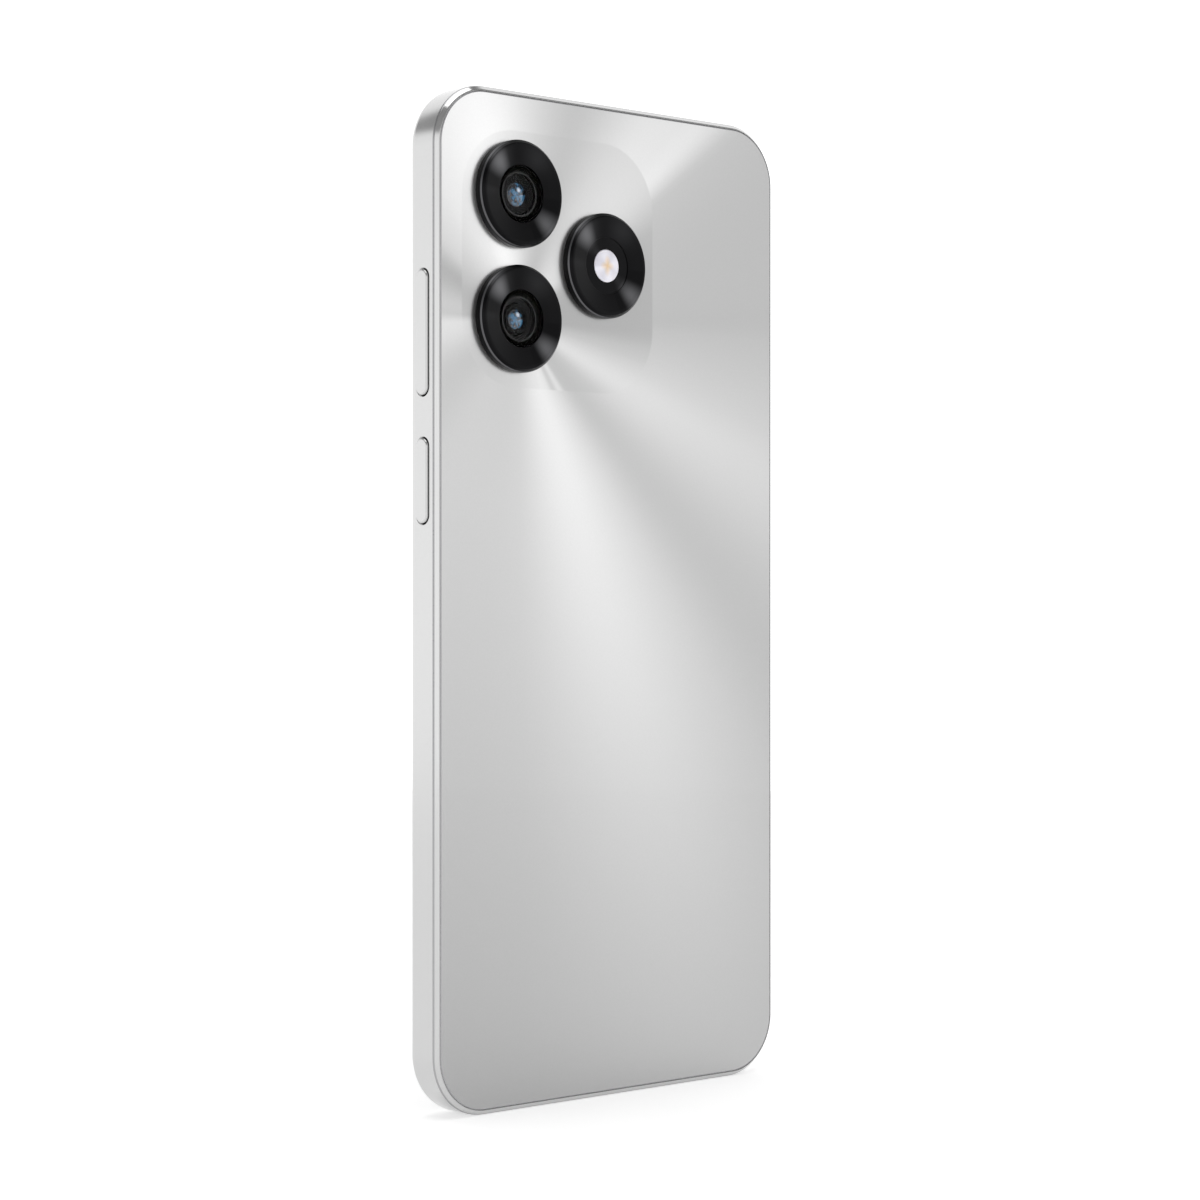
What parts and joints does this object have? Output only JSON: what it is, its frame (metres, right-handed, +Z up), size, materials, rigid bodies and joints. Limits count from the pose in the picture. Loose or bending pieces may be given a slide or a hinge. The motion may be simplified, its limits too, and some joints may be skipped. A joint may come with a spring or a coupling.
{
  "type": "smartphone",
  "caption": "Flat-sided silver smartphone with ring-framed cameras, side keys, card tray, charging port, headphone jack and full internals.",
  "frame": {"origin": "mouth of the charging port, in the middle of the bottom edge and of the body's thickness", "axes": "+Z up along the length to the camera end, -Y out of the screen, +Y out of the back, +X to the side that carries the keys"},
  "size_m": [0.0757, 0.0093, 0.1636],
  "materials": {
    "silver_frame": "anodised satin with a polished cut edge",
    "silver_keys": "anodised satin",
    "back_panel": "clear-coated silver film with a ray pattern",
    "screen_glass": "polished over a black display",
    "display": "dark panel",
    "black_ring": "turned gloss black",
    "lens": "coated glass",
    "flash_diffuser": "frosted",
    "flash_phosphor": "satin",
    "plate_alloy": "die cast",
    "steel": "stamped",
    "tungsten": "sintered",
    "black_plastic": "moulded",
    "board": "solder mask",
    "polyimide": "satin film",
    "foam_tape": "foam",
    "clear_tape": "satin",
    "battery_foil": "wrapped foil",
    "magnet": "plated",
    "mesh": "woven"
  },
  "bodies": {
    "phone": {"side_frame": "silver_frame", "mid_plate": "plate_alloy", "front_glass": "screen_glass", "display_adhesive": "foam_tape", "display_panel": "display", "display_flex": "polyimide", "earpiece": "steel", "earpiece_mesh": "mesh", "front_camera": "black_plastic", "light_sensor": "black_plastic", "back_cover": "back_panel", "back_adhesive": "foam_tape", "upper_camera_ring": "black_ring", "lower_camera_ring": "black_ring", "flash_ring": "black_ring", "upper_lens_glass": "lens", "lower_lens_glass": "lens", "flash_lens": "flash_diffuser", "flash_led": "flash_phosphor", "camera_gaskets": "foam_tape", "main_camera_housing": "steel", "main_camera_sensor": "board", "second_camera": "black_plastic", "key_bracket": "steel", "side_key_flex": "polyimide", "dome_switches": "steel", "card_reader": "steel", "lever_pin": "steel", "main_board": "board", "back_shields": "steel", "front_shield": "steel", "upper_bracket": "black_plastic", "top_microphone": "steel", "battery": "battery_foil", "battery_adhesive": "clear_tape", "battery_lead": "polyimide", "main_flex": "polyimide", "antenna_cable": "black_plastic", "sub_board": "board", "usb_shell": "steel", "usb_tongue": "black_plastic", "headphone_jack": "black_plastic", "bottom_microphone": "steel", "motor_can": "steel", "motor_shaft": "steel", "loudspeaker_box": "black_plastic", "loudspeaker_magnet": "magnet", "loudspeaker_cone": "black_plastic", "loudspeaker_mesh": "mesh", "screws": "steel"},
    "volume_rocker": {"volume_rocker": "silver_keys"},
    "power_button": {"power_button": "silver_keys", "fingerprint_sensor": "black_plastic"},
    "sim_tray": {"sim_tray": "silver_keys", "tray_seal": "foam_tape"},
    "eject_rod": {"eject_rod": "steel"},
    "eject_lever": {"eject_lever": "steel"},
    "motor_rotor": {"motor_rotor": "tungsten"},
    "lens_barrel": {"lens_barrel": "black_plastic"}
  },
  "joints": [
    {"name": "volume_rock", "type": "hinge", "parent": "phone", "child": "volume_rocker", "pos_m": [0.0351, 0.0004, 0.124], "axis": [0, 1, 0], "range_deg": [-1.2, 1.2], "stiffness_Nm_per_rad": 0.5},
    {"name": "power_press", "type": "slide", "parent": "phone", "child": "power_button", "axis": [-1, 0, 0], "range_m": [0, 0.00025], "stiffness_N_per_m": 6000},
    {"name": "tray_slide", "type": "slide", "parent": "phone", "child": "sim_tray", "axis": [-1, 0, 0], "range_m": [0, 0.03]},
    {"name": "eject_push", "type": "slide", "parent": "phone", "child": "eject_rod", "axis": [1, 0, 0], "range_m": [0, 0.0015]},
    {"name": "eject_turn", "type": "hinge", "parent": "phone", "child": "eject_lever", "pos_m": [-0.0076, -0.00035, 0.1327], "axis": [0, 1, 0], "range_deg": [0, 18]},
    {"name": "motor_spin", "type": "hinge", "parent": "phone", "child": "motor_rotor", "pos_m": [-0.01, 0.001, 0.0185], "axis": [0, 1, 0], "continuous": true},
    {"name": "focus_slide", "type": "slide", "parent": "phone", "child": "lens_barrel", "axis": [0, 1, 0], "range_m": [0, 0.00025], "stiffness_N_per_m": 150}
  ],
  "couplings": [
    {"joint": "eject_turn", "follows": "eject_push", "rad_per_m": 204.08}
  ]
}
